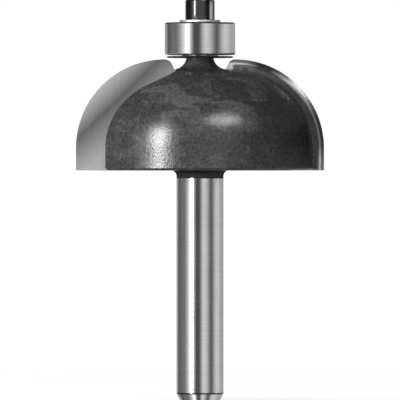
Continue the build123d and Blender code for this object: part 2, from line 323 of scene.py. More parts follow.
def in_scene(name, data):
    thing = bpy.data.objects.new(name, data)
    bpy.context.scene.collection.objects.link(thing)
    return thing


def cone(sides, low_r, high_r, middle, height):
    """A cone or a prism that stands on the bit's axis."""
    bm = bmesh.new()
    bmesh.ops.create_cone(
        bm, cap_ends=True, segments=sides, radius1=low_r, radius2=high_r, depth=height
    )
    bmesh.ops.translate(bm, verts=bm.verts[:], vec=(0, 0, middle))
    return bm


def spun(bm, degrees):
    """The same shape, turned about the bit's axis."""
    bmesh.ops.rotate(
        bm, verts=bm.verts[:], cent=(0, 0, 0), matrix=Matrix.Rotation(math.radians(degrees), 3, "Z")
    )
    return bm


def machine(work, tool_bm, operation):
    """Joins a shape to the work, cuts it away, or keeps what they share."""
    tool = as_object(tool_bm, "tool")
    step = work.modifiers.new("step", "BOOLEAN")
    step.object, step.operation, step.solver = tool, operation, "EXACT"
    bpy.context.view_layer.update()
    result = bpy.data.meshes.new_from_object(
        work.evaluated_get(bpy.context.evaluated_depsgraph_get())
    )
    if len(result.polygons) < 4:
        raise RuntimeError(f"{work.name}: a {operation.lower()} left nothing")
    old = work.data
    work.modifiers.clear()
    work.data = result
    bpy.data.meshes.remove(old)
    bpy.data.objects.remove(tool)
    return work


def dress(work, body, nodes, finishes, chooser=None):
    """Gives a shaped piece its size in metres, its smooth shading, its finish and its place."""
    mesh = work.data
    mesh.materials.clear()
    for finish in finishes:
        mesh.materials.append(finish)
    bm = bmesh.new()
    bm.from_mesh(mesh)
    tidy(bm)
    bmesh.ops.dissolve_degenerate(bm, dist=MERGE_DISTANCE, edges=bm.edges[:])
    open_edges = sum(not edge.is_manifold for edge in bm.edges)
    if open_edges:
        raise RuntimeError(f"{work.name}: {open_edges} open edges")
    for face in bm.faces:
        face.smooth = True
        face.material_index = chooser(face) if chooser else 0
    for edge in bm.edges:
        edge.smooth = edge.calc_face_angle(0) < SMOOTH_ANGLE
    bmesh.ops.scale(bm, vec=(MM, MM, MM), verts=bm.verts[:])
    bm.to_mesh(mesh)
    bm.free()
    mesh.name = work.name
    work.modifiers.new("even shading", "WEIGHTED_NORMAL").keep_sharp = True
    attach(work, body)
    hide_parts(*nodes)
    return work


# ---- finishes -----------------------------------------------------------
class NodeTree:
    """The nodes of a material or of the world, each made with its values and links."""

    def __init__(self, owner):
        owner.use_nodes = True
        self.nodes = owner.node_tree.nodes
        self.links = owner.node_tree.links

    def set(self, node, values):
        """Links or sets a node's sockets; a colour gets its fourth channel where it needs one."""
        for key, value in values.items():
            socket = node.inputs[key]
            if isinstance(value, bpy.types.NodeSocket):
                self.links.new(value, socket)
            elif hasattr(value, "__len__"):
                socket.default_value = (*value, 1.0)[: len(socket.default_value)]
            else:
                socket.default_value = value

    def add(self, kind, output, values=None, **settings):
        """A new node's output socket."""
        node = self.nodes.new("ShaderNode" + kind)
        for key, value in settings.items():
            setattr(node, key, value)
        self.set(node, values or {})
        return node.outputs[output]

    def sift(self, value, low, high, to_low=0.0, to_high=1.0, smooth=True):
        """Maps a range of a value to another, with its ends held."""
        return self.add(
            "MapRange", "Result",
            {"Value": value, "From Min": low, "From Max": high, "To Min": to_low, "To Max": to_high},
            interpolation_type="SMOOTHSTEP" if smooth else "LINEAR",
        )

    def combine(self, a, b, how="ADD", limit=0.0):
        """Two values added, or taken together in another way; a wrap has a limit as well."""
        return self.add("Math", 0, {0: a, 1: b, 2: limit}, operation=how)

    def blend(self, part, low, high):
        """Low where the part is 0, high where it is 1."""
        return self.add("Mix", 2, {0: part, 6: low, 7: high}, data_type="RGBA")

    def pick(self, ray, others, rays):
        """One shader for a kind of ray, and another for all the others."""
        return self.add("MixShader", 0, {0: self.add("LightPath", ray), 1: others, 2: rays})

    def degrees(self, rise, run):
        """The angle of a slope, in degrees."""
        return self.combine(self.combine(rise, run, "ARCTAN2"), DEGREES, "MULTIPLY")


class Finish(NodeTree):
    """A node material on one principled shader."""

    def __init__(self, name, colour, roughness, metallic=0.0, **constants):
        self.material = bpy.data.materials.new(name)
        super().__init__(self.material)
        self.shader = self.nodes["Principled BSDF"]
        self.set(self.shader, {"Base Color": colour, "Roughness": roughness, "Metallic": metallic})
        self.set(self.shader, {key.replace("_", " "): value for key, value in constants.items()})

    def place(self, scale=(1.0,) * 3, turn=(0.0,) * 3):
        """The point on the piece, in millimetres times a scale."""
        point = self.add("TexCoord", "Object")
        return self.add(
            "Mapping", "Vector",
            {"Vector": point, "Scale": tuple(s / MM for s in scale), "Rotation": turn},
        )

    def noise(self, scale, detail=2.0, rough=0.5, stretch=(1.0,) * 3, turn=(0.0,) * 3, warp=0.0):
        """Noise over the piece: its scale and stretch count per millimetre."""
        return self.add(
            "TexNoise", "Fac",
            {"Vector": self.place(stretch, turn), "Scale": scale, "Detail": detail,
             "Roughness": rough, "Distortion": warp},
        )

    def axis(self, letter, sign=1.0):
        """One coordinate of the point, in millimetres."""
        value = self.add("SeparateXYZ", letter, {"Vector": self.place()})
        return value if sign > 0 else self.combine(value, sign, "MULTIPLY")

    def ramp(self, value, stops):
        """A tone that runs straight from stop to stop, each given as (value, tone)."""
        low, high = stops[0][0], stops[-1][0]
        node = self.nodes.new("ShaderNodeValToRGB")
        elements = node.color_ramp.elements
        while len(elements) < len(stops):
            elements.new(0.5)
        for element, (place, tone) in zip(elements, stops):
            element.position, element.color = (place - low) / (high - low), (tone, tone, tone, 1.0)
        self.set(node, {"Fac": self.sift(value, low, high, smooth=False)})
        return node.outputs["Color"]

    def relief(self, value, depth, strength):
        """Fine relief that the mesh doesn't carry; its depth is in millimetres."""
        normal = self.add(
            "Bump", "Normal", {"Height": value, "Distance": depth * MM, "Strength": strength}
        )
        self.set(self.shader, {"Normal": normal})


CLEAR_IOR = 1.5
BLACK = (0.0,) * 3
WHITE = (1.0,) * 3
# Where the coating changes: heights and distances are in millimetres.
CLOUDS_GROW = (34.0, 40.0)      # heights from faint to full: paler clouds on the upper head, partly painted light
CLOUDS_THIN = (6.0, 11.0)       # distances towards +X from full to faint: fewer on the side away from the lamps, partly painted shade
NECK_PAINTED_LIGHT_DEPTH = 0.7                # painted light: paler coating over the head's top, on the flare and neck
COLLAR_PAINTED_SHADE = (0.9, 0.1)       # below the head, from the collar's colour to black: painted shade under the head
COLLAR_END = (0.06, 0.02)       # below the head, from the collar's finish to the head's
COLLAR_DULL = 0.5               # added to the roughness there
LEAD_IN_PAINTED_SHADE = 0.15            # half width of the dark line where the lead-in starts: painted shade along that edge


def coating_finish(looks, p):
    """Baked coating: finely speckled all over, with a few soft lighter clouds, half gloss. The clouds
    gather up the head and thin towards +X, partly painted light and shade; the neck is painted paler,
    painted light; the collar darkens under the head, painted shade.
    """
    f = Finish("head_coating", looks.coating, looks.coating_roughness, IOR=CLEAR_IOR)
    up = f.axis("Z")
    clouds = f.sift(f.noise(0.20, detail=2.5, stretch=(1.0, 1.0, 1.9), warp=0.9), 0.50, 0.60)
    streaks = f.sift(f.noise(0.42, stretch=(1.0, 1.0, 0.6), warp=0.5), 0.52, 0.62, to_high=0.6)
    # Random clouds, made stronger up the head and weaker towards +X, where less light falls: partly
    # painted light and shade.
    patches = f.combine(
        f.combine(clouds, streaks, "MAXIMUM"), f.sift(up, *CLOUDS_GROW, 0.5, 1.0), "MULTIPLY"
    )
    speckle = f.sift(f.noise(2.6, rough=0.7), 0.33, 0.67, to_high=0.62, smooth=False)
    patches = f.combine(patches, f.sift(f.axis("X"), *CLOUDS_THIN, 0.55, 0.1), "MULTIPLY")
    # Paler above the head's top, on the flare and neck: painted light.
    neck_painted_light = f.sift(up, p.head_top, p.head_top + NECK_PAINTED_LIGHT_DEPTH, to_high=0.35)
    mixed = f.combine(f.combine(patches, neck_painted_light), speckle)
    colour = f.blend(mixed, looks.coating, looks.coating_pale_and_painted_light)
    painted_shade_low, painted_shade_high, end_low, end_high = (
        p.underside - below for below in COLLAR_PAINTED_SHADE + COLLAR_END
    )
    # The collar darkens to black just under the head: painted shade.
    collar_with_painted_shade = f.blend(f.sift(up, painted_shade_low, painted_shade_high, 1.0, 0.0), BLACK, looks.collar)
    on_collar = f.sift(up, end_low, end_high, 1.0, 0.0)
    gloss = f.sift(mixed, 0.0, 1.0, looks.coating_roughness, looks.coating_roughness + 0.06)
    f.set(f.shader, {
        "Base Color": f.blend(on_collar, colour, collar_with_painted_shade),
        "Roughness": f.combine(gloss, f.combine(on_collar, COLLAR_DULL, "MULTIPLY")),
    })
    f.relief(f.noise(3.0, detail=3.0, rough=0.7), depth=0.026, strength=0.85)
    return f.material


def ground_finish(name, colour, roughness, lines_per_mm, painted_dark_line=None):
    """Cylindrically ground steel: fine rings round the axis.

    A painted dark line, painted shade along an edge, may go round it, given by its height and its half
    width in millimetres.
    """
    f = Finish(name, colour, roughness, 1.0)
    lines = f.noise(lines_per_mm, rough=0.7, stretch=(0.02, 0.02, 1.0))
    wear = f.noise(0.8, rough=0.6, stretch=(1.0, 1.0, 0.25))
    tone = f.sift(f.combine(lines, wear), 0.7, 1.3, 0.86, 1.04, smooth=False)
    # The dark line is painted shade along the edge where the lead-in starts.
    if painted_dark_line:
        height, half = painted_dark_line
        away = f.combine(f.combine(f.axis("Z"), height, "SUBTRACT"), 0.0, "ABSOLUTE")
        tone = f.combine(tone, f.sift(away, half * 0.4, half, 0.1, 1.0), "MULTIPLY")
    f.set(f.shader, {
        "Base Color": f.blend(tone, BLACK, colour),
        "Roughness": f.sift(wear, 0.3, 0.7, roughness * 0.94, roughness * 1.08),
    })
    f.relief(lines, depth=0.0005, strength=0.8)
    return f.material


# Painted highlights and reflections along a tip's relief, as (angle up from the cove's centre in degrees,
# tone). Like the painted reflection on the face below, they are fixed to the piece: they stay in place
# whichever way it is lit or seen.
RELIEF_PAINTED_HIGHLIGHTS = (
    (-14, 1.0), (-9, 1.0), (2, 0.3), (22, 0.25), (48, 1.0), (66, 0.0), (74, 0.0), (90, 0.9)
)
CARBIDE_METAL = 0.35
RELIEF_ROUGHNESS = 0.30
FACE_PAINTED_REFLECTION_LEAN = (0.694, 0.72)       # the face's painted reflection runs along this line, outwards and up
FACE_PAINTED_REFLECTION_LOW = (33.0, 36.9)         # millimetres along it from painted light to painted dark
FACE_PAINTED_REFLECTION_HIGH = (37.0, 39.6)        # and from painted dark to painted light again
RELIEF_START = (0.02, 0.08)     # millimetres behind the cutting face
GRIND_TURN = 0.9                # slope of the grinding marks, in radians


def carbide_finish(name, looks, side, p):
    """Diamond-ground carbide: a painted reflection crosses the face in broad tones, and painted
    highlights run round the relief.
    """
    f = Finish(name, looks.carbide_light, looks.carbide_roughness, CARBIDE_METAL)
    lean_out, lean_up = FACE_PAINTED_REFLECTION_LEAN
    across = f.add(
        "VectorMath", "Value", {0: f.place(), 1: (side * lean_out, 0.0, lean_up)}, operation="DOT_PRODUCT"
    )
    # A painted reflection: broad light and dark tones across the face.
    painted_reflection_low = f.sift(across, *FACE_PAINTED_REFLECTION_LOW, 1.0, 0.0, smooth=False)
    painted_reflection_high = f.sift(across, *FACE_PAINTED_REFLECTION_HIGH, smooth=False)
    marks = {"rough": 0.6, "turn": (0.0, side * GRIND_TURN, 0.0)}
    grain = f.sift(f.noise(3.0, stretch=(1.0, 1.0, 0.12), **marks), 0.3, 0.7, -0.03, 0.03)
    face = f.combine(f.combine(painted_reflection_low, painted_reflection_high), grain)
    out, up = f.axis("X", side), f.axis("Z")
    turned = f.degrees(
        f.combine(up, p.cove_height, "SUBTRACT"), f.combine(out, p.bearing_r, "SUBTRACT")
    )
    behind = f.sift(f.combine(f.axis("Y"), 0.0, "ABSOLUTE"), *RELIEF_START)
    face_painted_reflection = f.blend(face, looks.carbide_dark, looks.carbide_light)
    # Painted highlights and reflections round the relief, by angle about the cove's centre.
    relief_painted_highlights = f.blend(f.ramp(turned, RELIEF_PAINTED_HIGHLIGHTS), looks.relief_painted_dark, looks.relief_painted_light)
    f.set(f.shader, {
        "Base Color": f.blend(behind, face_painted_reflection, relief_painted_highlights),
        "Roughness": f.sift(behind, 0.0, 1.0, looks.carbide_roughness, RELIEF_ROUGHNESS),
    })
    f.relief(f.noise(9.0, stretch=(1.0, 1.0, 0.08), **marks), depth=0.002, strength=0.5)
    return f.material


# Painted light and shade round the screw, as (angle from the front in degrees, tone): lighter in front,
# black on the sides. The oxide wears thin on its flanks.
SCREW_PAINTED_SHADING = ((-90, 0.0), (-42, 0.02), (-30, 0.75), (0, 1.0), (22, 0.5), (33, 0.0), (90, 0.0))
WORN_START = (38.0, 44.0)       # degrees from the front, from oxide to bare steel
WORN_END = (54.0, 66.0)         # and back to oxide
WORN_METAL = 0.9
UNWORN_DEPTH = 0.2              # an unworn piece is this much darker


def oxide_finish(name, looks, roughness, worn):
    """Black oxide over steel: dark and oily, worn bright where a hand or a tool rubs it. On a worn piece,
    light and shade are painted round it as well.
    """
    f = Finish(name, looks.black_oxide, roughness, IOR=CLEAR_IOR)
    mottle = f.noise(1.6, detail=3.0, rough=0.6)
    depth = 1.0 if worn else UNWORN_DEPTH
    dark, light = (tuple(depth * part * c for c in looks.black_oxide) for part in (0.5, 1.0))
    colour = f.blend(mottle, dark, light)
    if worn:
        turned = f.degrees(f.axis("X"), f.axis("Y", -1.0))
        # Painted light and shade round the screw: lighter in front, black on the sides.
        colour = f.blend(f.ramp(turned, SCREW_PAINTED_SHADING), BLACK, colour)
        flank = f.combine(
            f.sift(turned, *WORN_START), f.sift(turned, *WORN_END, 1.0, 0.0), "MULTIPLY"
        )
        f.set(f.shader, {"Metallic": f.combine(flank, WORN_METAL, "MULTIPLY")})
        colour = f.blend(flank, colour, looks.worn_steel)
    f.set(f.shader, {
        "Base Color": colour,
        "Roughness": f.sift(mottle, 0.3, 0.7, roughness * 0.96, roughness * 1.04),
    })
    f.relief(f.noise(8.0, rough=0.6), depth=0.0005, strength=0.4)
    return f.material


def sheet_finish(name, colour, roughness):
    """Rolled sheet or wire, lightly scratched."""
    f = Finish(name, colour, roughness, 1.0)
    marks = f.noise(3.5, detail=3.0, rough=0.7, stretch=(1.0, 0.15, 1.0), turn=(0.0, 0.0, 0.5))
    f.set(f.shader, {
        "Base Color": f.blend(marks, tuple(0.7 * c for c in colour), colour),
        "Roughness": f.sift(marks, 0.3, 0.7, roughness * 0.8, roughness * 1.3),
    })
    f.relief(marks, depth=0.002, strength=0.5)
    return f.material


# ---- sizes that follow from the settings --------------------------------
class Plan:
    """The bit's heights and radii in millimetres, from the scene's settings."""

    def __init__(self, scene):
        for group in ("bit_body", "bit_tooth", "bit_bearing", "bit_stack"):
            settings = getattr(scene, group)
            for key in settings.bl_rna.properties.keys():
                if key in ("rna_type", "name"):
                    continue
                value = getattr(settings, key)
                is_length = settings.bl_rna.properties[key].unit == "LENGTH"
                setattr(self, key, value / MM if is_length else value)
        self.shank_r = self.shank_diameter / 2
        self.neck_r = self.neck_diameter / 2
        self.bearing_r = self.outer_diameter / 2
        self.bore_r = self.bore / 2
        self.stub_r = self.bore_r - self.bore_fit
        self.screw_r = self.screw_diameter / 2
        self.ball_r = self.ball_diameter / 2
        self.underside = self.shank_length
        self.cut_top = self.underside + self.cut_height
        self.cove_height = self.cut_top - self.cove_radius
        self.head_arc = self.cove_radius - self.chip_depth
        self.head_r = self.bearing_r + self.head_arc
        self.head_top = self.cove_height + self.head_arc
        self.tip_inner_arc = self.cove_radius - self.tip_width
        nose_run = self.nose_round * math.tan(self.nose_slope / 2)
        self.nose_top = self.bearing_r - self.nose_overlap - nose_run
        self.nose_base = self.nose_top - self.chip_depth / math.tan(self.nose_slope)
        self.shoulder = self.cut_top + self.neck_rise
        self.slinger_top = self.shoulder + self.slinger_thickness
        self.bearing_low = self.slinger_top + self.hub_height
        self.bearing_top = self.bearing_low + self.width
        self.race = self.bearing_low + self.width / 2
        self.stub_top = self.bearing_top - self.stub_recess
        self.screw_seat = self.bearing_top + self.washer_thickness
        self.screw_end = self.screw_seat - self.screw_length
        self.hole_end = self.screw_end - self.hole_extra
        self.pitch_r = (self.bearing_r + self.bore_r) / 2
        self.groove_bottom = self.pitch_r + self.ball_r + self.ball_clearance
        self.land_r = self.groove_bottom - self.groove_depth
        self.inner_land_r = self.pitch_r - self.ball_r - self.ball_clearance + self.groove_depth
        self.seat_r = self.land_r + self.shield_seat
        self.snap_r = self.seat_r + self.snap_bite


# ---- outlines -----------------------------------------------------------
def body_outline(p):
    """From the shank's end up over the head to the stub and down its tapped hole."""
    flare_r = p.neck_r + p.neck_flare * math.sin(p.flare_turn)
    hole_r = p.screw_r + p.thread_clearance
    return (
        Outline(0, 0)
        .to(p.shank_r - p.lead_in_depth, 0)
        .to(p.shank_r, p.lead_in_height)
        .to(p.shank_r, p.underside - p.collar_height)
        .to(p.shank_r, p.underside, p.root_round, ROOT_STEPS)
        .to(p.head_r, p.underside, p.head_edge, CHAMFER)
        .to(p.head_r, p.cove_height)
        .arc(p.bearing_r, p.cove_height, -90, ARC_STEPS)
        .to(flare_r, p.head_top)
        .arc(flare_r, p.head_top + p.neck_flare, math.degrees(p.flare_turn), FLARE_STEPS)
        .to(p.neck_r, p.shoulder)
        .to(p.stub_r, p.shoulder)
        .to(p.stub_r, p.stub_top, p.stub_edge, CHAMFER)
        .to(hole_r, p.stub_top)
        .to(hole_r, p.hole_end)
        .to(0, p.hole_end)
    )


def cove_outline(p, arc_radius, low, start, start_round=0.0):
    """Everything under a cove-shaped arc, down to a height."""
    top = p.cove_height + arc_radius
    side = p.bearing_r + arc_radius
    return (
        Outline(side, low)
        .to(side, p.cove_height)
        .arc(p.bearing_r, p.cove_height, -90, ARC_STEPS)
        .to(start, top, start_round)
        .to(start, low)
        .close()
    )


def crescent_outline(p, arc_radius, low, nose_top, nose_round=0.0):
    """The crescent of a tip, or of its wider seat, which has an upright nose."""
    inner = p.tip_inner_arc
    outline = (
        Outline(p.bearing_r + inner, low)
        .to(p.bearing_r + arc_radius, low)
        .to(p.bearing_r + arc_radius, p.cove_height)
        .arc(p.bearing_r, p.cove_height, -90, ARC_STEPS)
        .to(nose_top, p.cove_height + arc_radius, nose_round, NOSE_STEPS)
    )
    if nose_top > p.nose_base:
        outline.to(p.nose_base, p.head_top)
    return (
        outline.to(p.nose_base, p.cove_height + inner)
        .to(p.bearing_r, p.cove_height + inner)
        .arc(p.bearing_r, p.cove_height, 90, ARC_STEPS)
        .close()
    )


def ring_outline(inner, outer, low, high, inner_round, outer_round=0.0):
    """The section of a plain ring with rounded edges."""
    return (
        Outline(inner, (low + high) / 2)
        .to(inner, low, inner_round, EDGE_STEPS)
        .to(outer, low, outer_round, EDGE_STEPS)
        .to(outer, high, outer_round, EDGE_STEPS)
        .to(inner, high, inner_round, EDGE_STEPS)
        .close()
    )


# ---- operators, one for each kind of piece ------------------------------
class BIT_OT_body(bpy.types.Operator):
    """Turn the shank and head, stand the lands on it and mill seats and gullets"""

    bl_idname = "router_bit.body"
    bl_label = "Body"

    def land(self, p, side):
        outline = cove_outline(p, p.cove_radius - p.land_step, p.underside, p.land_start, p.land_round)
        plate = slab(outline, p.tip_thickness, p.land_depth, p.land_relief, LAND_ROOT)
        bmesh.ops.bisect_plane(
            plate, geom=plate.verts[:] + plate.edges[:] + plate.faces[:], dist=MERGE_DISTANCE,
            plane_co=(0, 0, p.underside), plane_no=(0, 0, 1), clear_inner=True,
        )
        bmesh.ops.holes_fill(plate, edges=[edge for edge in plate.edges if edge.is_boundary])
        return spun(tidy(plate), side)

    def seat(self, p, side):
        outline = crescent_outline(p, p.cove_radius + OVERCUT, p.underside - OVERCUT, p.nose_base)
        return spun(slab(outline, -SEAT_PASS, p.tip_thickness + SEAT_PASS), side)

    def gullet(self, p, side):
        reach = 2 * p.head_r
        mouth = (
            Outline(-reach, 0)
            .to(0, 0, p.face_corner)
            .to(0, -p.gullet_width, p.gullet_corner, GULLET_STEPS)
            .to(-reach, -p.gullet_width)
            .close()
        )
        block = slab(mouth, -2 * p.cut_height, 2 * p.cut_height + p.head_r)
        lay_down = Matrix.Rotation(math.radians(-90), 4, "X")
        lean = Matrix.Rotation(p.gullet_lean, 4, "Y")
        place = Matrix.Translation((-p.gullet_floor, 0, p.head_top))
        bmesh.ops.transform(block, matrix=place @ lean @ lay_down, verts=block.verts[:])
        return spun(tidy(block), side)

    def execute(self, context):
        p = Plan(context.scene)
        work = as_object(turn(body_outline(p), BODY_STEPS), "body")
        for side in (0, 180):
            machine(work, self.land(p, side), "UNION")
        for side in (0, 180):
            machine(work, self.seat(p, side), "DIFFERENCE")
            machine(work, self.gullet(p, side), "DIFFERENCE")
        looks = context.scene.bit_finishes
        coating_low = p.underside - p.collar_height
        ground = ground_finish(
            "ground_shank", looks.ground_steel, looks.ground_roughness, lines_per_mm=9.0,
            painted_dark_line=(p.lead_in_height, LEAD_IN_PAINTED_SHADE),
        )
        dress(
            work, "bit", ["bit_body"], [coating_finish(looks, p), ground],
            lambda face: int(face.calc_center_median().z < coating_low),
        )
        return {"FINISHED"}


class BIT_OT_tips(bpy.types.Operator):
    """Cut the two brazed carbide crescents, relieved behind their edge"""

    bl_idname = "router_bit.tips"
    bl_label = "Carbide tips"

    def execute(self, context):
        p = Plan(context.scene)
        for index, (side, degrees) in enumerate(((-1, 180), (1, 0)), 1):
            face = crescent_outline(p, p.cove_radius, p.underside, p.nose_top, p.nose_round)
            work = as_object(slab(face, 0, p.tip_thickness), f"tip_{index}")
            envelope = cove_outline(p, p.cove_radius, p.underside - OVERCUT, -p.bearing_r)
            machine(work, slab(envelope, 0, p.tip_thickness, p.tip_relief), "INTERSECT")
            work.data.transform(Matrix.Rotation(math.radians(degrees), 4, "Z"))
            finish = carbide_finish(f"carbide_{index}", context.scene.bit_finishes, side, p)
            dress(work, "bit", [f"carbide_tip_{index}"], [finish])
        return {"FINISHED"}


class BIT_OT_slinger(bpy.types.Operator):
    """Turn the thin black washer and its bright hub"""

    bl_idname = "router_bit.slinger"
    bl_label = "Slinger washer"

    def execute(self, context):
        p = Plan(context.scene)
        bore = p.stub_r + p.washer_clearance
        outline = (
            Outline(bore, p.shoulder)
            .to(p.slinger_diameter / 2, p.shoulder, SHEET_ROUND, EDGE_STEPS)
            .to(p.slinger_diameter / 2, p.slinger_top, SHEET_ROUND, EDGE_STEPS)
            .to(p.hub_diameter / 2, p.slinger_top)
            .to(p.hub_diameter / 2, p.bearing_low)
            .to(bore, p.bearing_low)
            .close()
        )
        work = as_object(turn(outline, RING_STEPS), "slinger")
        looks = context.scene.bit_finishes
        oxide = oxide_finish("slinger_oxide", looks, roughness=0.6, worn=False)
        hub = sheet_finish("hub_steel", looks.hub_steel, roughness=0.26)
        hub_r = p.hub_diameter / 2 + MERGE_DISTANCE
        dress(
            work, "bit", ["slinger_washer"], [oxide, hub],
            lambda face: int(
                face.calc_center_median().z > p.slinger_top + MERGE_DISTANCE
                and face.calc_center_median().xy.length < hub_r
            ),
        )
        return {"FINISHED"}


class BIT_OT_outer_ring(bpy.types.Operator):
    """Turn the bearing's outer ring with its ball groove, shield seats and snap grooves"""

    bl_idname = "router_bit.outer_ring"
    bl_label = "Bearing outer ring"

    def execute(self, context):
        p = Plan(context.scene)
        groove_centre = p.groove_bottom - p.groove_radius
        half = math.sqrt(p.groove_radius**2 - (p.land_r - groove_centre) ** 2)
        sweep = math.degrees(2 * math.asin(half / p.groove_radius))
        seat = p.shield_recess + p.shield_thickness
        snap_near = p.shield_recess - p.snap_size
        # From each face inwards: the snap ring's groove, and the shoulder that a shield rests on.
        bore = (
            (p.seat_r, snap_near), (p.snap_r, snap_near), (p.snap_r, p.shield_recess),
            (p.seat_r, p.shield_recess), (p.seat_r, seat), (p.land_r, seat),
        )
        outline = (
            Outline(p.seat_r, p.bearing_low)
            .to(p.bearing_r, p.bearing_low, p.edge_round)
            .to(p.bearing_r, p.bearing_top, p.edge_round)
            .to(p.seat_r, p.bearing_top)
        )
        for radius, inset in bore:
            outline.to(radius, p.bearing_top - inset)
        outline.to(p.land_r, p.race + half).arc(groove_centre, p.race, sweep, GROOVE_STEPS)
        for radius, inset in reversed(bore):
            outline.to(radius, p.bearing_low + inset)
        work = as_object(turn(outline.close(), BODY_STEPS), "outer_ring")
        looks = context.scene.bit_finishes
        finish = ground_finish(
            "bearing_steel", looks.bearing_steel, looks.bearing_roughness, lines_per_mm=7.0
        )
        dress(work, "outer_ring", ["bearing_outer_ring"], [finish])
        return {"FINISHED"}


class BIT_OT_shields(bpy.types.Operator):
    """Press the two bearing shields"""

    bl_idname = "router_bit.shields"
    bl_label = "Shields"

    def execute(self, context):
        p = Plan(context.scene)
        finish = sheet_finish("shield_steel", context.scene.bit_finishes.sheet_steel, roughness=0.28)
        lows = {
            "lower": p.bearing_low + p.shield_recess,
            "upper": p.bearing_top - p.shield_recess - p.shield_thickness,
        }
        for name, low in lows.items():
            bore = p.inner_land_r + p.shield_gap
            outline = ring_outline(bore, p.seat_r, low, low + p.shield_thickness, SHEET_ROUND)
            work = as_object(turn(outline, RING_STEPS), f"shield_plate_{name}")
            dress(work, "outer_ring", [f"shield_{name}"], [finish])
        return {"FINISHED"}


class BIT_OT_snap_rings(bpy.types.Operator):
    """Bend the two split rings that hold the shields"""

    bl_idname = "router_bit.snap_rings"
    bl_label = "Snap rings"

    def execute(self, context):
        p = Plan(context.scene)
        finish = sheet_finish("spring_steel", context.scene.bit_finishes.sheet_steel, roughness=0.2)
        lows = {
            "lower": p.bearing_low + p.shield_recess - p.snap_size,
            "upper": p.bearing_top - p.shield_recess,
        }
        for name, low in lows.items():
            outline = ring_outline(
                p.snap_r - p.snap_size, p.snap_r, low, low + p.snap_size, p.wire_round, p.wire_round
            )
            bm = turn(outline, RING_STEPS, FULL_TURN - p.snap_gap)
            work = as_object(spun(bm, math.degrees(p.snap_gap / 2)), f"split_ring_{name}")
            dress(work, "outer_ring", [f"snap_ring_{name}"], [finish])
        return {"FINISHED"}


class BIT_OT_clamp_washer(bpy.types.Operator):
    """Turn the bright washer under the screw"""

    bl_idname = "router_bit.clamp_washer"
    bl_label = "Clamp washer"

    def execute(self, context):
        p = Plan(context.scene)
        bore, rim = p.screw_r + p.washer_clearance, p.washer_diameter / 2
        outline = (
            Outline(bore, p.bearing_top)
            .to(rim, p.bearing_top, p.washer_edge, EDGE_STEPS)
            .to(rim, p.screw_seat, p.washer_edge, EDGE_STEPS)
            .to(bore, p.screw_seat)
            .close()
        )
        work = as_object(turn(outline, RING_STEPS), "screw_washer")
        looks = context.scene.bit_finishes
        finish = ground_finish("washer_steel", looks.washer_steel, roughness=0.55, lines_per_mm=4.0)
        dress(work, "bit", ["clamp_washer"], [finish])
        return {"FINISHED"}


class BIT_OT_screw(bpy.types.Operator):
    """Turn the black cap screw and broach its hexagon socket"""

    bl_idname = "router_bit.screw"
    bl_label = "Cap screw"

    def execute(self, context):
        p = Plan(context.scene)
        head_r, flat_r = p.screw_head_diameter / 2, p.socket_width / 2
        top = p.screw_seat + p.screw_head_height
        outline = (
            Outline(0, p.screw_end)
            .to(p.screw_r, p.screw_end, p.screw_point, CHAMFER)
            .to(p.screw_r, p.screw_seat)
            .to(head_r, p.screw_seat, p.screw_foot_round)
            .to(head_r, top, p.screw_head_round)
            .to(0, top)
        )
        work = as_object(turn(outline, RING_STEPS), "bearing_screw")
        corner_r, height = flat_r / math.cos(math.radians(30)), p.socket_depth + OVERCUT
        hexagon = cone(6, corner_r, corner_r, top - p.socket_depth + height / 2, height)
        machine(work, hexagon, "DIFFERENCE")
        point = flat_r / math.tan(p.socket_cone)
        drill = cone(DRILL_SIDES, 0, flat_r, top - p.socket_depth - point / 2, point)
        machine(work, tidy(drill), "DIFFERENCE")
        finish = oxide_finish("black_oxide", context.scene.bit_finishes, roughness=0.12, worn=True)
        dress(work, "bit", ["cap_screw"], [finish])
        return {"FINISHED"}


class BIT_OT_inner_parts(bpy.types.Operator):
    """Finish the solid inner ring, cage and balls, which keep their own shape"""

    bl_idname = "router_bit.inner_parts"
    bl_label = "Inner ring, cage and balls"

    def execute(self, context):
        looks = context.scene.bit_finishes
        ring = ground_finish(
            "inner_ring_steel", looks.bearing_steel, looks.bearing_roughness, lines_per_mm=7.0
        )
        cage = sheet_finish("cage_steel", looks.sheet_steel, roughness=0.35)
        ball = ground_finish("ball_steel", looks.bearing_steel, roughness=0.06, lines_per_mm=2.0)
        for name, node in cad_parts.items():
            if node.hide_render:
                continue
            finish = ball if name.startswith("ball") else cage if name.startswith("cage") else ring
            node.data.materials.clear()
            node.data.materials.append(finish)
        return {"FINISHED"}


# What reflections see: a dim studio with softboxes, in place of the white that the camera sees.
# Each is (name, azimuth, half width, left feather, right feather, strength, lowest and highest
# elevation), in degrees. Azimuth 0 is in front of the bit, and grows to its own left hand.
SOFTBOXES = (
    ("key", -43, 1, 40, 25, 0.98, -60, 26),
    ("key_peak", -41.5, 1.5, 11, 11, 0.60, -60, 26),
    ("key_spill", -88, 8, 40, 20, 0.11, -60, 26),
    ("fill", 20, 0.5, 26, 40, 0.66, -60, 26),
    ("side", 93, 2, 38, 60, 0.62, -60, 3),
    ("rim", 180, 30, 33, 28, 0.34, -60, 3),
)
STUDIO_GLOOM = 0.085            # between the softboxes
CEILING = 0.05                  # overhead
CEILING_START = (35, 75)        # elevations from the one to the other
EDGE_FEATHER = 6                # at the top and foot of each softbox
FLOOR_GLOW = 0.72               # what the floor adds to itself for the camera alone
FLOOR_ROUGHNESS = 0.9
FLOOR_SPECULAR = 0.1
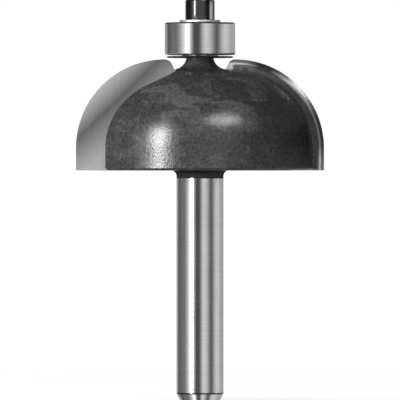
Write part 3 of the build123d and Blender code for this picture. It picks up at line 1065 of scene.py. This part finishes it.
# Lamps, as (name, azimuth, elevation, width, height, power, seen in reflections, lights surfaces).
# Those seen in reflections light these pieces alone, and leave the bearing out. The kicker is
# low and behind, and glances along the tips' relief.
REFLECTING = ("body", "tip_1", "tip_2", "bearing_screw", "screw_washer")
LAMPS = (
    ("key_lamp", -52, 16, 0.30, 0.30, 3.0, False, True),
    ("fill_lamp", -5, 5, 0.30, 0.30, 1.4, False, True),
    ("top_lamp", 0, 70, 0.50, 0.50, 0.7, False, True),
    ("back_lamp", 180, 30, 0.40, 0.40, 0.8, False, True),
    ("key_core", -42, 12.5, 0.13, 0.36, 5.5, True, False),
    ("strip", 29, 40, 0.32, 0.05, 1.9, True, False),
    ("kicker", 160, 18, 0.06, 0.09, 0.11, True, False),
)
LAMP_DISTANCE = 0.7
# A black flag beside the head keeps the side light out of the coating's reflections. It is
# given by its azimuth in degrees, and its distance, width, foot and top in metres.
FLAG = (122, 0.045, 0.110, 0.0306, 0.0462)
FLAG_ROUGHNESS = 0.5


class BIT_OT_stage(bpy.types.Operator):
    """Lay the pale floor, hang the studio light and stand the camera"""

    bl_idname = "router_bit.stage"
    bl_label = "Stage, light and camera"

    def floor(self, stage):
        """Reflections pass through the floor, to the lower half of the studio."""
        bm = bmesh.new()
        bmesh.ops.create_grid(bm, x_segments=1, y_segments=1, size=stage.floor_size / MM / 2)
        floor = as_object(bm, "floor")
        floor.data.transform(Matrix.Scale(MM, 4))
        f = Finish(
            "pale_floor", stage.floor_grey, FLOOR_ROUGHNESS, Specular_IOR_Level=FLOOR_SPECULAR
        )
        plain = f.shader.outputs[0]
        glowing = f.add("AddShader", 0, {0: plain, 1: f.add("Emission", 0, {"Strength": FLOOR_GLOW})})
        surface = f.pick("Is Camera Ray", plain, glowing)
        surface = f.pick("Is Glossy Ray", surface, f.add("BsdfTransparent", 0))
        f.set(f.nodes["Material Output"], {"Surface": surface})
        floor.data.materials.append(f.material)

    def studio(self):
        world = bpy.data.worlds.new("studio")
        bpy.context.scene.world = world
        world.cycles_visibility.diffuse = False
        t = NodeTree(world)
        t.nodes.clear()
        out = t.nodes.new("ShaderNodeOutputWorld")
        way = t.add("TexCoord", "Generated")
        x, y, z = (t.add("SeparateXYZ", letter, {"Vector": way}) for letter in "XYZ")
        azimuth = t.degrees(x, t.combine(y, -1.0, "MULTIPLY"))
        elevation = t.combine(t.combine(z, 0.0, "ARCSINE"), DEGREES, "MULTIPLY")
        total = t.sift(elevation, *CEILING_START, STUDIO_GLOOM, CEILING)
        for name, centre, half, left, right, strength, low, high in SOFTBOXES:
            turned = t.combine(t.combine(azimuth, centre, "SUBTRACT"), -180.0, "WRAP", 180.0)
            on_left = t.sift(turned, -half - left, -half)
            on_right = t.sift(turned, half, half + right, 1.0, 0.0)
            bottom = t.sift(elevation, low - EDGE_FEATHER, low)
            top = t.sift(elevation, high, high + EDGE_FEATHER, 1.0, 0.0)
            across = t.combine(on_left, on_right, "MULTIPLY")
            lit = t.combine(across, t.combine(bottom, top, "MULTIPLY"), "MULTIPLY")
            total = t.combine(total, t.combine(lit, strength, "MULTIPLY"))
        seen, studio = (
            t.add("Background", 0, {"Color": WHITE, "Strength": light}) for light in (1.0, total)
        )
        t.set(out, {"Surface": t.pick("Is Camera Ray", studio, seen)})

    def lamp(self, name, azimuth, elevation, width, height, power, in_reflections, on_surfaces):
        data = bpy.data.lights.new(name, "AREA")
        data.shape, data.size, data.size_y, data.energy = "RECTANGLE", width, height, power
        lamp = in_scene(name, data)
        a, e = math.radians(azimuth), math.radians(elevation)
        way = Vector((math.sin(a) * math.cos(e), -math.cos(a) * math.cos(e), math.sin(e)))
        lamp.location = Vector((0, 0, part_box("bit_body")[1].z / 2)) + way * LAMP_DISTANCE
        lamp.rotation_euler = way.to_track_quat("Z", "Y").to_euler()
        lamp.visible_camera = False
        lamp.visible_glossy = in_reflections
        lamp.visible_diffuse = on_surfaces
        if in_reflections:
            lit = bpy.data.collections.new(f"{name}_lights")
            for piece in REFLECTING:
                lit.objects.link(bpy.data.objects[piece])
            lamp.light_linking.receiver_collection = lit

    def flag(self, azimuth, distance, width, low, high):
        bm = bmesh.new()
        half = width / 2
        corners = ((-half, low), (half, low), (half, high), (-half, high))
        bm.faces.new([bm.verts.new((x, -distance, z)) for x, z in corners])
        flag = as_object(spun(bm, azimuth), "flag")
        black = Finish("flag_black", BLACK, FLAG_ROUGHNESS, Specular_IOR_Level=0.0)
        flag.data.materials.append(black.material)
        flag.visible_camera = flag.visible_diffuse = flag.visible_shadow = False

    def camera(self, stage):
        data = bpy.data.cameras.new("camera")
        camera = in_scene("camera", data)
        camera.location = (0, -stage.camera_distance, stage.camera_height)
        camera.rotation_euler = (math.radians(90), 0, 0)
        data.lens = data.sensor_width * stage.camera_distance / stage.view_width
        data.clip_start, data.clip_end = 0.1, 10.0
        bpy.context.scene.camera = camera

    def execute(self, context):
        stage = context.scene.bit_stage
        self.floor(stage)
        self.studio()
        for settings in LAMPS:
            self.lamp(*settings)
        self.flag(*FLAG)
        self.camera(stage)
        context.scene.view_settings.view_transform = "Standard"
        return {"FINISHED"}


PIECE_OPERATORS = (
    BIT_OT_body, BIT_OT_tips, BIT_OT_slinger, BIT_OT_outer_ring, BIT_OT_shields, BIT_OT_snap_rings,
    BIT_OT_clamp_washer, BIT_OT_screw, BIT_OT_inner_parts, BIT_OT_stage,
)


class BIT_PT_panel(bpy.types.Panel):
    """Lists the bit's pieces in the order that they are made"""

    bl_idname = "BIT_PT_panel"
    bl_label = "Router bit"
    bl_space_type = "VIEW_3D"
    bl_region_type = "UI"
    bl_category = "Router Bit"

    def draw(self, context):
        for operator in PIECE_OPERATORS:
            self.layout.operator(operator.bl_idname)


SETTINGS = {
    "bit_body": BodySizes,
    "bit_tooth": ToothSizes,
    "bit_bearing": BearingSizes,
    "bit_stack": StackSizes,
    "bit_finishes": Finishes,
    "bit_stage": Stage,
}


def register():
    for group in SETTINGS.values():
        bpy.utils.register_class(group)
    for name, group in SETTINGS.items():
        setattr(bpy.types.Scene, name, bpy.props.PointerProperty(type=group))
    for operator in PIECE_OPERATORS:
        bpy.utils.register_class(operator)
    bpy.utils.register_class(BIT_PT_panel)


def unregister():
    bpy.utils.unregister_class(BIT_PT_panel)
    for operator in reversed(PIECE_OPERATORS):
        bpy.utils.unregister_class(operator)
    for name, group in SETTINGS.items():
        delattr(bpy.types.Scene, name)
        bpy.utils.unregister_class(group)


def main():
    register()
    for operator in PIECE_OPERATORS:
        family, name = operator.bl_idname.split(".")
        getattr(getattr(bpy.ops, family), name)()


if __name__ == "__main__":
    main()
